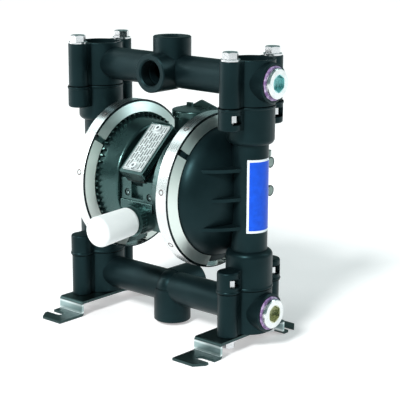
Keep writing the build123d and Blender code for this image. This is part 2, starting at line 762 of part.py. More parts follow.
def housing_ways():
    """Every bore and passage of the centre housing."""
    leaning = Rot(lean, 0, 0)
    mid = valve_mid
    seat_pocket = block(-6.9, 6.9, mid - 7.5, mid + 7.5, plate_low, pad + 1)
    clear = block(-15, 15, valve_low - 0.5, valve_high + 0.5, pad, 60)
    supply = block(-3, 3, mid + 7.6, mid + 9.1, 30, pad + 1)
    down = [rod_z(2.0, port_depth - 2, plate_low + 0.5, 0, mid + s * port_pitch) for s in (-1, 1)]
    bolts = [rod_z(2.0 + slide_fit, 25, pad + 1, 0, mid + s * 22.5) for s in (-1, 1)]
    ways = [leaning * piece for piece in [seat_pocket, clear, supply] + down + bolts]
    ways += [rod_x(2.5, 0, housing_x + 1, *right_port), rod_x(2.5, -housing_x - 1, 0, *left_port)]
    ways += [rod_x(shaft_r + 0.6, -housing_x - 1, housing_x + 1)]
    for s in (-1, 1):
        ways += [rod_x(pilot_head_r + 0.5, s * (pin_head - 0.25), s * (housing_x + 1), pilot_y)]
        screw_hole = [rod_x(cover_screw_r + slide_fit, s * (housing_x - 10.8), s * (housing_x + 1))]
        ways += [Pos(0, y, z) * hole for y, z in screw_places for hole in screw_hole]
    ways += [Pos(0, 0, -axis_z) * exhaust_frame * rod_z(exhaust_r, -25, ring_start + 1)]
    ways += [angled_hole(3.0, (-25, exhaust_z - axis_z), on_face(mid, plate_low + 0.5))]
    level = inlet_z - axis_z
    ways += [rod_y(inlet_thread_r, inlet_face - 14, inlet_face + 1, 0, level)]
    ways += [rod_y(4.0, inlet_face - 22, inlet_face - 14, 0, level)]
    funnel = Cone(inlet_thread_r + mouth, inlet_thread_r, mouth)
    ways += [Pos(0, inlet_face - mouth / 2, level) * Rot(90, 0, 0) * funnel]
    ways += [angled_hole(3.0, (40, level), on_face(mid + 8.3, 31.5))]
    return ways


save(on_axis(centre_housing() - housing_ways()), "center_housing")

# Air valve: plate and cup, carriage with two pistons, cover, gasket and nameplate
slot = [block(-3.2, 3.2, y0, y1, 30, 50) for y0, y1 in ((-5.8, -4.4), (-1.3, 1.3), (4.4, 5.8))]
wear_plate = block(-6.8, 6.8, -7.4, 7.4, plate_low, pad + 1) - slot
save(valve_frame * Pos(0, valve_mid, 0) * wear_plate, "valve_plate")
cup_floor = pad + 1 + slide_fit
valve_cup = block(-5, 5, -cup_half, cup_half, cup_floor, 41.3) - block(-3.6, 3.6, -3.3, 3.3, 39, 40.4)
save(valve_frame * Pos(0, valve_mid, 0) * valve_cup, "valve_cup")
carriage = rod_y(2.6, -piston_end, piston_end, 0, piston_level)
carriage += [rod_y(3.9, s * 4.8, s * 6.4, 0, piston_level) for s in (-1, 1)]
carriage += [rod_y(piston_r, s * (piston_end - 3.8), s * piston_end, 0, piston_level) for s in (-1, 1)]
save(valve_frame * Pos(0, valve_mid, 0) * carriage, "valve_carriage")


def valve_cover():
    section = Polyline(
        (-14.5, cover_top),
        (14.5, cover_top),
        (14.5, 44.5),
        (10.5, pad + 1),
        (-10.5, pad + 1),
        (-14.5, 44.5),
        close=True,
    )
    body = Pos(0, valve_high, 0) * Rot(90, 0, 0) * extrude(make_face(section), valve_high - valve_low)
    body = fillet(body.edges().filter_by(Axis.Z), 2.0)
    mid = valve_mid
    room = cup_half + valve_travel + 0.4
    bore_end = piston_end + valve_travel + 0.4
    body -= block(-7, 7, mid - room, mid + room, pad, 48.2)
    body -= block(-3.2, 3.2, mid + 7, mid + 9.2, pad, 42)
    body -= rod_y(piston_r + slide_fit, mid - bore_end, mid + bore_end, 0, piston_level)
    return body - [rod_z(2.3, pad, cover_top + 1, 0, mid + s * 22.5) for s in (-1, 1)]


save(valve_frame * valve_cover(), "air_valve_cover")
sheet = block(-10.5, 10.5, valve_low, valve_high, pad, pad + 1)
sheet -= block(-7.6, 7.6, valve_mid - 9.4, valve_mid + 9.4, pad - 1, pad + 2)
sheet -= [rod_z(2.3, pad - 1, pad + 2, 0, valve_mid + s * 22.5) for s in (-1, 1)]
save(valve_frame * sheet, "valve_cover_gasket")
name_sheet = Pos(0, valve_mid, cover_top) * extrude(RectangleRounded(23.7, 53.9, 1.0), 1.0)
name_sheet -= [rod_z(2.3, 40, 60, 0, valve_mid + s * 22.5) for s in (-1, 1)]
save(valve_frame * name_sheet, "nameplate")
small_screw = rod_z(2.0, 26, cover_top + 1) + rod_z(3.5, cover_top + 1, cover_top + 3.2)
small_screw -= hexagon_z(3.0, cover_top + 1.8, cover_top + 4)
screws = [valve_frame * Pos(0, valve_mid + s * 22.5, 0) * small_screw for s in (-1, 1)]
save_group(screws, "valve_cover_screws")

# Exhaust: a knurled fitting in the front port and the muffler in it
ring_end = ring_start + ring_length
ring = rod_z(fitting_r, ring_start, ring_end)
grip = rod_z(1.0, ring_start + 0.8, ring_end - 0.8)
grips = [radians(a) for a in range(0, 360, 12)]
ring -= [Pos((fitting_r + 0.3) * cos(a), (fitting_r + 0.3) * sin(a), 0) * grip for a in grips]
fitting = ring + rod_z(exhaust_r - 0.1, ring_start - 12, ring_start) - rod_z(fitting_bore, -20, 20)
save(exhaust_frame * fitting, "exhaust_fitting")
can = cone_z(can_rear_r, can_front_r, ring_end, ring_end + can_length)
can = fillet(low_edges(can), 4.5)
can = fillet(top_edges(can), 6.0)
can += rod_z(fitting_bore - 0.1, ring_end - 11.5, ring_end + 4.5)
save(exhaust_frame * can, "muffler")
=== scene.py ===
import bmesh
import bpy
import json
import math
from mathutils import Matrix, Vector


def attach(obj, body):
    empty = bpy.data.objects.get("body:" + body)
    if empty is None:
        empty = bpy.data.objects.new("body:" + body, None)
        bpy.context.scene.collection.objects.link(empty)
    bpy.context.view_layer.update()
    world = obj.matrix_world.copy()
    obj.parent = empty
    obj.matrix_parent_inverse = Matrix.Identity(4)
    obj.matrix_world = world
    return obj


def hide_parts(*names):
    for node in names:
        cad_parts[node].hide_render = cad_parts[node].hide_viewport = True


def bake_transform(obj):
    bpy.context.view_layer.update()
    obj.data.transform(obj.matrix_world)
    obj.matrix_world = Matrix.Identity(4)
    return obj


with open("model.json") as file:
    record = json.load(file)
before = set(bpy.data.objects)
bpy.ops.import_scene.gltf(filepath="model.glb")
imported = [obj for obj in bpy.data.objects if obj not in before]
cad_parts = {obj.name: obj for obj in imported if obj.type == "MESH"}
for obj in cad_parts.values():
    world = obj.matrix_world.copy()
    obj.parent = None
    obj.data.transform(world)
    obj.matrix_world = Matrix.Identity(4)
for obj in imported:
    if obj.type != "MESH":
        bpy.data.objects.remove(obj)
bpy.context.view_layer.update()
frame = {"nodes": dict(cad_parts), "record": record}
NODES = frame["nodes"]
SLOT_OF = {part["node"]: part["material_slot"] for part in frame["record"]["subparts"]}
SIDES = ((-1, "left"), (1, "right"))

# Sizes of the pump in millimetres; X runs along the shaft, the floor is z = 0
MM = 0.001
AXIS_Z = 140.0  # shaft
COLUMN_X = 95.0
SEAM_HIGH, SEAM_LOW = 223.8, 56.2  # fluid covers end here
PIPE_HIGH, PIPE_LOW = 245.0, 35.0  # axes of the manifold pipes
FOOT_MIDDLE = 7.5  # half way between the two levels of a foot
CLAMP_X, STRAP_HALF = 52.25, 6.15
STRAP_IN_R, STRAP_OUT_R = 71.4, 72.4


# Node helpers
def new_material(name):
    mat = bpy.data.materials.new(name)
    mat.use_nodes = True
    tree = mat.node_tree
    shader = next(n for n in tree.nodes if n.type == "BSDF_PRINCIPLED")
    coords = tree.nodes.new("ShaderNodeTexCoord")
    return mat, tree, shader, coords.outputs["Object"]


def mapped(tree, vector, scale=(1, 1, 1), turn=(0, 0, 0), move=(0, 0, 0)):
    node = tree.nodes.new("ShaderNodeMapping")
    node.inputs["Scale"].default_value = scale
    node.inputs["Rotation"].default_value = turn
    node.inputs["Location"].default_value = move
    tree.links.new(vector, node.inputs["Vector"])
    return node.outputs["Vector"]


def noise(tree, vector, scale, detail=2.0):
    node = tree.nodes.new("ShaderNodeTexNoise")
    node.inputs["Scale"].default_value = scale
    node.inputs["Detail"].default_value = detail
    node.inputs["Roughness"].default_value = 0.5
    tree.links.new(vector, node.inputs["Vector"])
    return node.outputs["Fac"]


def ramp(tree, factor, stops):
    node = tree.nodes.new("ShaderNodeValToRGB")
    while len(node.color_ramp.elements) < len(stops):
        node.color_ramp.elements.new(0.5)
    for element, (place, colour) in zip(node.color_ramp.elements, stops):
        element.position = place
        element.color = (*colour, 1.0)
    tree.links.new(factor, node.inputs["Fac"])
    return node.outputs["Color"]


def spread(tree, factor, low, high):
    """The middle of a noise, 0.3 to 0.7, stretched from low to high."""
    node = tree.nodes.new("ShaderNodeMapRange")
    node.inputs["From Min"].default_value = 0.3
    node.inputs["From Max"].default_value = 0.7
    node.inputs["To Min"].default_value = low
    node.inputs["To Max"].default_value = high
    tree.links.new(factor, node.inputs["Value"])
    return node.outputs["Result"]


def calc(tree, kind, a, b=None):
    """One math node; a and b are numbers or sockets."""
    node = tree.nodes.new("ShaderNodeMath")
    node.operation = kind
    for slot, value in zip(node.inputs, (a, b)):
        if isinstance(value, (int, float)):
            slot.default_value = value
        elif value is not None:
            tree.links.new(value, slot)
    return node.outputs[0]


def all_of(tree, first, *others):
    """Product of masks."""
    for other in others:
        first = calc(tree, "MULTIPLY", first, other)
    return first


def apart(tree, value, middle):
    """How far a value is from a middle."""
    return calc(tree, "ABSOLUTE", calc(tree, "SUBTRACT", value, middle))


def length_of(tree, a, b):
    """Length of the vector (a, b)."""
    square = calc(tree, "ADD", calc(tree, "MULTIPLY", a, a), calc(tree, "MULTIPLY", b, b))
    return calc(tree, "SQRT", square)


def split(tree, vector):
    node = tree.nodes.new("ShaderNodeSeparateXYZ")
    tree.links.new(vector, node.inputs["Vector"])
    return node.outputs["X"], node.outputs["Y"], node.outputs["Z"]


def blend_colour(tree, factor, first, second, kind="MIX"):
    """Mix node; each value is a colour, a number or a socket."""
    node = tree.nodes.new("ShaderNodeMix")
    node.data_type = "RGBA"
    node.blend_type = kind
    for name, value in (("Factor", factor), ("A", first), ("B", second)):
        if isinstance(value, tuple):
            node.inputs[name].default_value = (*value, 1.0)
        elif isinstance(value, (int, float)):
            node.inputs[name].default_value = value
        else:
            tree.links.new(value, node.inputs[name])
    return node.outputs["Result"]


def bump(tree, shader, height, strength, distance, chain=None):
    node = tree.nodes.new("ShaderNodeBump")
    node.inputs["Strength"].default_value = strength
    node.inputs["Distance"].default_value = distance
    tree.links.new(height, node.inputs["Height"])
    if chain is not None:
        tree.links.new(chain, node.inputs["Normal"])
    tree.links.new(node.outputs["Normal"], shader.inputs["Normal"])
    return node.outputs["Normal"]


def paint(tree, shader, colour, rough):
    tree.links.new(colour, shader.inputs["Base Color"])
    tree.links.new(rough, shader.inputs["Roughness"])


# Materials; a colour range is its dark and light end, and noise scales are per metre
STREAK_BUMP = 0.00004


def plastic(name, dark, light, rough, grain=900.0, strength=0.25, specular=0.5, tint=(1, 1, 1), ior=1.5):
    """Moulded plastic: cloudy colour, fine pebble grain and a slow waviness."""
    mat, tree, shader, at = new_material(name)
    colour = ramp(tree, noise(tree, at, 26.0, 4.0), [(0.3, dark), (0.72, light)])
    paint(tree, shader, colour, spread(tree, noise(tree, at, 60.0, 3.0), *rough))
    shader.inputs["Specular IOR Level"].default_value = specular
    shader.inputs["Specular Tint"].default_value = (*tint, 1.0)
    shader.inputs["IOR"].default_value = ior
    waves = bump(tree, shader, noise(tree, at, 90.0), 0.05, 0.001)
    bump(tree, shader, noise(tree, at, grain), strength, 0.00012, waves)
    return mat


def metal(name, dark, light, rough, streak=(30, 30, 30)):
    """Metal with fine streaks along the direction of the small scale values."""
    mat, tree, shader, at = new_material(name)
    colour = ramp(tree, noise(tree, at, 45.0, 3.0), [(0.32, dark), (0.7, light)])
    lines = noise(tree, mapped(tree, at, streak), 40.0, 3.0)
    paint(tree, shader, colour, spread(tree, lines, *rough))
    shader.inputs["Metallic"].default_value = 1.0
    bump(tree, shader, lines, 0.08, STREAK_BUMP)
    return mat


def clamp_strip(name, dark, light, rough, side, edge_x, edge_r):
    """Rolled strip with painted shadow along the gap between strap and retainers: beyond edge_x from its
    middle and edge_r from the shaft.
    """
    mat, tree, shader, at = new_material(name)
    x, y, z = split(tree, at)
    radius = length_of(tree, y, calc(tree, "SUBTRACT", z, AXIS_Z * MM))
    edge = calc(tree, "GREATER_THAN", apart(tree, x, side * CLAMP_X * MM), edge_x * MM)
    if edge_r:
        edge = all_of(tree, edge, calc(tree, "GREATER_THAN", radius, edge_r * MM))
    face = ramp(tree, noise(tree, at, 30.0), [(0.3, dark), (0.7, light)])
    lines = noise(tree, mapped(tree, at, (60, 2, 2)), 40.0)
    # painted shadow: the near-black colour on the masked edges stands for the shade in the gap between
    # strap and retainers
    colour = blend_colour(tree, edge, face, (0.020, 0.032, 0.034))
    paint(tree, shader, colour, spread(tree, lines, *rough))
    shader.inputs["Metallic"].default_value = 1.0
    bump(tree, shader, lines, 0.006, STREAK_BUMP)
    return mat


# Rating plate, in its own leaning frame: x across, y up the slope
PLATE_LEAN, PLATE_MIDDLE = 42.0, -1.4  # degrees, and y of its middle
PLATE_SCREWS, SCREW_CLEAR = (-23.9, 21.1), 5.8  # y of each screw, and the bare circle round it
ROWS_X, ROWS_Y = 10.5, 25.0  # half the printed field
ROW_PITCH, ROW_HALF = 3.0, 0.27  # the second is a share of the pitch
FRAME_X, FRAME_Y, FRAME_LINE = 10.9, 26.0, 0.4  # half the inside of the frame, and its line


def plate_material():
    """Pale plate: plain dark bars in rows along its long side, clear of the screws, in a thin frame."""
    mat, tree, shader, at = new_material("plate_print")
    level = mapped(tree, at, move=(0, 0, -AXIS_Z * MM))
    x, y, _ = split(tree, mapped(tree, level, turn=(-math.radians(PLATE_LEAN), 0, 0)))
    across = calc(tree, "ABSOLUTE", x)
    along = apart(tree, y, PLATE_MIDDLE * MM)
    place = calc(tree, "DIVIDE", calc(tree, "ADD", x, ROWS_X * MM), ROW_PITCH * MM)
    masks = [
        calc(tree, "LESS_THAN", apart(tree, calc(tree, "FRACT", place), 0.5), ROW_HALF),
        calc(tree, "LESS_THAN", across, ROWS_X * MM),
        calc(tree, "LESS_THAN", along, ROWS_Y * MM),
    ]
    for screw in PLATE_SCREWS:
        to_screw = length_of(tree, x, calc(tree, "SUBTRACT", y, screw * MM))
        masks.append(calc(tree, "GREATER_THAN", to_screw, SCREW_CLEAR * MM))
    shift = calc(tree, "SINE", calc(tree, "MULTIPLY", calc(tree, "FLOOR", place), 2.3))
    for bars_per_metre, share in ((118.0, 0.82), (730.0, 0.76)):
        bars = calc(tree, "ADD", calc(tree, "MULTIPLY", y, bars_per_metre), shift)
        masks.append(calc(tree, "LESS_THAN", calc(tree, "FRACT", bars), share))
    past_x = calc(tree, "SUBTRACT", across, FRAME_X * MM)
    past_y = calc(tree, "SUBTRACT", along, FRAME_Y * MM)
    past = calc(tree, "MAXIMUM", past_x, past_y)
    within = calc(tree, "LESS_THAN", past, FRAME_LINE * MM)
    ring = all_of(tree, calc(tree, "GREATER_THAN", past, 0.0), within)
    print_ink = calc(tree, "MULTIPLY", calc(tree, "MAXIMUM", all_of(tree, *masks), ring), 0.95)
    paper = ramp(tree, noise(tree, at, 160.0, 3.0), [(0.3, (0.54, 0.59, 0.59)), (0.7, (0.68, 0.73, 0.73))])
    colour = blend_colour(tree, print_ink, paper, (0.015, 0.022, 0.025))
    paint(tree, shader, colour, spread(tree, noise(tree, at, 300.0), 0.30, 0.42))
    shader.inputs["Metallic"].default_value = 0.35
    bump(tree, shader, noise(tree, at, 500.0), 0.06, 0.0001)
    return mat


def plug_material():
    """Turned plug: bright rim, darker driven recess, by distance from the plug's own axis."""
    mat, tree, shader, at = new_material("plug_steel")
    recess_r = 8.2
    _, y, z = split(tree, at)
    upper = calc(tree, "GREATER_THAN", z, AXIS_Z * MM)
    axis = calc(tree, "ADD", calc(tree, "MULTIPLY", upper, (PIPE_HIGH - PIPE_LOW) * MM), PIPE_LOW * MM)
    radius = length_of(tree, y, calc(tree, "SUBTRACT", z, axis))
    recess = calc(tree, "LESS_THAN", radius, recess_r * MM)
    cloud = noise(tree, at, 130.0, 3.0)
    rim = ramp(tree, cloud, [(0.3, (0.70, 0.74, 0.74)), (0.7, (0.92, 0.93, 0.93))])
    deep = blend_colour(tree, upper, (0.58, 0.60, 0.44), (0.48, 0.74, 0.74))
    paint(tree, shader, blend_colour(tree, recess, rim, deep), spread(tree, cloud, 0.16, 0.34))
    shader.inputs["Metallic"].default_value = 1.0
    bump(tree, shader, cloud, 0.08, 0.0002)
    return mat


def foot_material():
    """Dark coating, with painted highlights: the riser between its two levels is coloured brighter where
    the bends catch the light.
    """
    mat, tree, shader, at = new_material("foot_coating")
    _, _, z = split(tree, at)
    cloud = noise(tree, at, 45.0, 3.0)
    shade = ramp(tree, cloud, [(0.3, (0.75, 0.78, 0.78)), (0.7, (1.0, 1.0, 1.0))])
    off = apart(tree, calc(tree, "DIVIDE", z, FOOT_MIDDLE * MM), 1.0)
    # painted highlights: the brighter bands on the riser stand for the light its bends catch, while the
    # flats keep the dark coating
    dark, middle, bright = (0.050, 0.085, 0.085), (0.46, 0.60, 0.60), (0.86, 0.96, 0.96)
    painted_bend_highlights = ramp(tree, off, [
        (0.0, middle), (0.28, middle), (0.42, bright), (0.56, bright), (0.655, dark), (1.0, dark)])
    colour = blend_colour(tree, 1.0, painted_bend_highlights, shade, "MULTIPLY")
    paint(tree, shader, colour, spread(tree, cloud, 0.32, 0.42))
    shader.inputs["Metallic"].default_value = 1.0
    bump(tree, shader, noise(tree, at, 400.0), 0.02, 0.0001)
    return mat


TEAL = (0.42, 0.92, 1.0)  # tint of the gloss on the black plastic
# By the record's material slot
MATERIALS = {
    "black_moulding": plastic(
        "moulded_black", (0.0016, 0.0045, 0.0055), (0.0056, 0.0125, 0.0145), (0.34, 0.48),
        specular=0.25, tint=TEAL),
    "black_housing": plastic(
        "housing_black", (0.0020, 0.0055, 0.0060), (0.0060, 0.0125, 0.0135), (0.22, 0.34),
        strength=0.08, tint=(0.52, 0.97, 0.93), ior=2.0),
    "zinc_steel": metal("bright_zinc", (0.56, 0.57, 0.58), (0.82, 0.83, 0.85), (0.16, 0.30)),
    "inner_metal": metal(
        "machined_steel", (0.5, 0.5, 0.5), (0.68, 0.68, 0.68), (0.22, 0.36), (60, 2, 2)),
    "dark_zinc": foot_material(),
    "port_metal": plug_material(),
    "plate_metal": plate_material(),
    "rubber_black": plastic("rubber", (0.012,) * 3, (0.024,) * 3, (0.6, 0.8), 500.0),
    "diaphragm_white": plastic(
        "smooth_white", (0.68, 0.68, 0.63), (0.80, 0.80, 0.76), (0.3, 0.42), 300.0, 0.06),
    "seat_plastic": plastic(
        "natural_plastic", (0.60, 0.60, 0.54), (0.74, 0.74, 0.70), (0.34, 0.5), 400.0, 0.1),
    "bearing_plastic": plastic(
        "bearing_tan", (0.38, 0.32, 0.2), (0.5, 0.43, 0.28), (0.4, 0.55), 400.0, 0.1),
    "muffler_white": plastic(
        "porous_white", (0.90, 0.92, 0.92), (0.96, 0.97, 0.97), (0.6, 0.75), 700.0, 0.30),
}
# By node, in place of the slot's own: clamp strips know which side they are on
closure = metal("closure_steel", (0.10, 0.14, 0.13), (0.26, 0.32, 0.30), (0.20, 0.34))
NODE_MATERIALS = {name: closure for name in ("clamp_t_bolts", "clamp_trunnions", "clamp_nuts")}
for side, word in SIDES:
    # the last two arguments say where each strip gets the painted gap shadow: the strap's side faces and
    # the retainers' rim under the strap
    NODE_MATERIALS[f"clamp_strap_{word}"] = clamp_strip(
        f"strap_steel_{word}", (0.80, 0.83, 0.83), (0.89, 0.91, 0.91), (0.26, 0.29),
        side, STRAP_HALF - 0.12, 0)
    NODE_MATERIALS[f"clamp_retainers_{word}"] = clamp_strip(
        f"retainer_steel_{word}", (0.80, 0.88, 0.83), (0.87, 0.94, 0.90), (0.32, 0.42),
        side, 0, STRAP_IN_R - 1.1)
for name, obj in NODES.items():
    mat = NODE_MATERIALS.get(name) or MATERIALS[SLOT_OF[name]]
    if not obj.material_slots:
        obj.data.materials.append(mat)
    for held in obj.material_slots:
        held.material = mat


# Mesh helpers
def shown(name, data, mat):
    """Object of a mesh, smooth and with one material."""
    for poly in data.polygons:
        poly.use_smooth = True
    data.materials.clear()
    data.materials.append(mat)
    obj = bpy.data.objects.new(name, data)
    bpy.context.scene.collection.objects.link(obj)
    return obj


def mesh_piece(name, points, faces, mat):
    """Piece that rides on the pump, from points in millimetres."""
    data = bpy.data.meshes.new(name)
    data.from_pydata([tuple(c * MM for c in p) for p in points], [], faces)
    data.validate()
    data.update()
    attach(shown(name, data, mat), "pump")


def grid_faces(rows, cols, closed_rows=False, closed_cols=False):
    faces = []
    for i in range(rows if closed_rows else rows - 1):
        for j in range(cols if closed_cols else cols - 1):
            a = i * cols + j
            b = i * cols + (j + 1) % cols
            c = ((i + 1) % rows) * cols + (j + 1) % cols
            d = ((i + 1) % rows) * cols + j
            faces.append((a, b, c, d))
    return faces


def axis_frame(origin, out):
    """Matrix that puts local +Z along out, with its origin there."""
    z = Vector(out).normalized()
    x = z.orthogonal().normalized()
    return Matrix.Translation(Vector(origin)) @ Matrix((x, z.cross(x), z)).transposed().to_4x4()


def circle_angles(count):
    """Angles of evenly spaced points round a circle."""
    return [2 * math.pi * i / count for i in range(count)]


# Threads in the ports; each starts behind the chamfer and runs out at both ends
THREAD_START = 1.6
THREAD_SINK = 0.02  # clearance to the wall of the port
THREAD_STEPS, THREAD_EASE = 64, 24  # points a turn, and points over which an end rises
THREAD_PROFILE = ((0.0, 0.06), (0.25, 0.75), (0.35, 0.75), (0.6, 0.06))  # along in pitches, height in mm
PIPE_PITCH, AIR_PITCH = 1.81, 1.41
PORTS = (  # name, mouth, way out, radius of the bore, length and pitch
    ("thread_outlet_top", (0, 0, 277.2), (0, 0, 1), 9.2, 15.0, PIPE_PITCH),
    ("thread_outlet_front", (0, -30.9, PIPE_HIGH), (0, -1, 0), 11.9, 11.0, PIPE_PITCH),
    ("thread_inlet_bottom", (0, 0, 2.8), (0, 0, -1), 9.2, 15.0, PIPE_PITCH),
    ("thread_inlet_rear", (0, 30.9, PIPE_LOW), (0, 1, 0), 11.9, 11.0, PIPE_PITCH),
    ("thread_air_inlet", (0, 60.0, 185.0), (0, 1, 0), 5.56, 13.0, AIR_PITCH),
)


def thread(name, mouth, out, radius, length, pitch, mat):
    """A spiral thread standing inwards from the wall of a port."""
    at = axis_frame(mouth, out)
    rows = int((length - THREAD_START) / pitch * THREAD_STEPS) + 1
    points = []
    for i in range(rows):
        angle = 2 * math.pi * i / THREAD_STEPS
        base = -THREAD_START - pitch * i / THREAD_STEPS
        ease = min(1.0, i / THREAD_EASE, (rows - 1 - i) / THREAD_EASE)
        for step, rise in THREAD_PROFILE:
            r = radius - THREAD_SINK - rise * ease
            points.append(at @ Vector((r * math.cos(angle), r * math.sin(angle), base - step * pitch)))
    mesh_piece(name, points, grid_faces(rows, len(THREAD_PROFILE)), mat)


# black plastic plus painted shade: darker and duller than the moulding, so the threads stand for the shade
# deep in each port
port_black_and_shade = plastic(
    "port_thread_black_and_shade", (0.0006, 0.0012, 0.0014), (0.0018, 0.0034, 0.0040), (0.42, 0.54),
    specular=0.05, tint=TEAL)
for port in PORTS:
    thread(*port, port_black_and_shade)


# Seams between manifolds and fluid covers: a lip on the cover, and a near-black band painted as the shadow
# in the joint
SEAM_CUT, SEAM_STEP = 1.2, 0.8  # where the cover's outline is read, and its point spacing
# Outwards from the outline and away from the seam, into the cover
LIP = ((-0.5, 0.12), (0.40, 0.12), (0.62, 0.40), (0.62, 1.35), (0.30, 2.3), (-0.5, 2.9))
LINE = ((-0.5, -0.62), (0.10, -0.62), (0.10, 0.12), (-0.5, 0.12))


def outline(node, level):
    """Outer loop of a node cut at a level, as points in millimetres, anticlockwise."""
    cut = bmesh.new()
    cut.from_mesh(NODES[node].data)
    everything = cut.verts[:] + cut.edges[:] + cut.faces[:]
    made = bmesh.ops.bisect_plane(cut, geom=everything, plane_co=(0, 0, level * MM), plane_no=(0, 0, 1))
    near = {}
    for edge in (item for item in made["geom_cut"] if isinstance(item, bmesh.types.BMEdge)):
        a, b = (tuple(round(c / MM, 3) for c in v.co[:2]) for v in edge.verts)
        if a != b:
            near.setdefault(a, set()).add(b)
            near.setdefault(b, set()).add(a)
    cut.free()
    start = max(near, key=lambda point: abs(point[0]))
    loop, last = [start], None
    while True:
        ahead = sorted(point for point in near[loop[-1]] if point != last)
        last = loop[-1]
        if not ahead or (len(loop) > 2 and start in near[last]):
            break
        loop.append(ahead[0])
    area = sum(a[0] * b[1] - b[0] * a[1] for a, b in zip(loop, loop[1:] + loop[:1]))
    return loop if area > 0 else loop[::-1]


def even(loop, step):
    """The same loop with points at even steps, so that the offset stays smooth."""
    runs = [math.dist(a, b) for a, b in zip(loop, loop[1:] + loop[:1])]
    count = int(sum(runs) / step)
    points, index, gone = [], 0, 0.0
    for k in range(count):
        want = sum(runs) * k / count
        while gone + runs[index] < want:
            gone += runs[index]
            index += 1
        a, b = loop[index], loop[(index + 1) % len(loop)]
        part = (want - gone) / runs[index]
        points.append((a[0] + (b[0] - a[0]) * part, a[1] + (b[1] - a[1]) * part))
    return points


def seam_ring(name, loop, level, inwards, profile, mat):
    """Profile carried round the loop."""
    points, count = [], len(loop)
    for i, (x, y) in enumerate(loop):
        a, b = loop[i - 2], loop[(i + 2) % count]
        dx, dy = b[0] - a[0], b[1] - a[1]
        long = math.hypot(dx, dy)
        for out, rise in profile:
            points.append((x + out * dy / long, y - out * dx / long, level + inwards * rise))
    mesh_piece(name, points, grid_faces(count, len(profile), True, True), mat)


# painted shadow: near-black band along the joint, in place of the shade between cover and manifold
seam_painted_shadow = plastic(
    "seam_shadow", (0.0002, 0.0005, 0.0006), (0.0006, 0.0010, 0.0012), (0.7, 0.8), specular=0.02)
for _, word in SIDES:
    for place, level, inwards in (("upper", SEAM_HIGH, -1), ("lower", SEAM_LOW, 1)):
        loop = even(outline(f"fluid_cover_{word}", level + inwards * SEAM_CUT), SEAM_STEP)
        where = f"{word}_{place}"
        seam_ring(f"seam_lip_{where}", loop, level, inwards, LIP, MATERIALS["black_moulding"])
        seam_ring(f"seam_line_{where}", loop, level, inwards, LINE, seam_painted_shadow)


# Sealant squeezed out round the four end plugs
SEALANT_X, SEALANT_R, SEALANT_WIRE, SEALANT_FLAT = 120.9, 14.2, 1.15, 0.85
SEALANT_WAVER = 0.16


def sealant_material():
    mat, tree, shader, at = new_material("thread_sealant")
    cloud = noise(tree, at, 240.0, 4.0)
    colours = [(0.3, (0.10, 0.04, 0.15)), (0.5, (0.28, 0.16, 0.36)), (0.68, (0.62, 0.52, 0.70))]
    paint(tree, shader, ramp(tree, cloud, colours), spread(tree, cloud, 0.3, 0.6))
    bump(tree, shader, noise(tree, at, 500.0, 4.0), 0.6, 0.0006)
    return mat


def sealant(name, side, z, mat):
    """Bead of uneven thickness round a plug."""
    around, tube = 96, 12
    points = []
    for angle in circle_angles(around):
        wander = math.sin(3 * angle + side) + 0.6 * math.sin(7 * angle + z) + 0.4 * math.sin(13 * angle)
        wire = SEALANT_WIRE + SEALANT_WAVER * wander
        for turn in circle_angles(tube):
            r = SEALANT_R + wire * math.cos(turn)
            x = SEALANT_X + SEALANT_FLAT * wire * math.sin(turn)
            points.append((side * x, r * math.cos(angle), z + r * math.sin(angle)))
    mesh_piece(name, points, grid_faces(around, tube, True, True), mat)


sealant_paste = sealant_material()
for side, word in SIDES:
    sealant(f"sealant_{word}_upper", side, PIPE_HIGH, sealant_paste)
    sealant(f"sealant_{word}_lower", side, PIPE_LOW, sealant_paste)


# Label on the right column: blue field in a white frame, nothing printed
LABEL_LOW, LABEL_HIGH = 109.3, 176.4
LABEL_START, LABEL_TURN = 29.0, 122.0  # degrees from the front
LABEL_IN_R, LABEL_R, LABEL_FRAME = 16.42, 16.56, 2.1


def label_material():
    mat, tree, shader, at = new_material("label_print")
    x, y, z = split(tree, at)
    from_axis = calc(tree, "SUBTRACT", x, COLUMN_X * MM)
    angle = calc(tree, "ARCTAN2", from_axis, calc(tree, "MULTIPLY", y, -1.0))
    turned = apart(tree, angle, math.radians(LABEL_START + LABEL_TURN / 2))
    raised = apart(tree, z, (LABEL_LOW + LABEL_HIGH) / 2 * MM)
    inner_turn = math.radians(LABEL_TURN / 2) - LABEL_FRAME / LABEL_R
    inner_rise = ((LABEL_HIGH - LABEL_LOW) / 2 - LABEL_FRAME) * MM
    sides = calc(tree, "GREATER_THAN", turned, inner_turn)
    ends = calc(tree, "GREATER_THAN", raised, inner_rise)
    grain = noise(tree, at, 220.0, 3.0)
    blue = ramp(tree, grain, [(0.3, (0.003, 0.075, 0.62)), (0.7, (0.005, 0.095, 0.74))])
    colour = blend_colour(tree, calc(tree, "MAXIMUM", sides, ends), blue, (0.84, 0.88, 0.92))
    paint(tree, shader, colour, spread(tree, grain, 0.30, 0.42))
    shader.inputs["Specular IOR Level"].default_value = 0.2
    bump(tree, shader, noise(tree, at, 300.0), 0.05, 0.0001)
    return mat


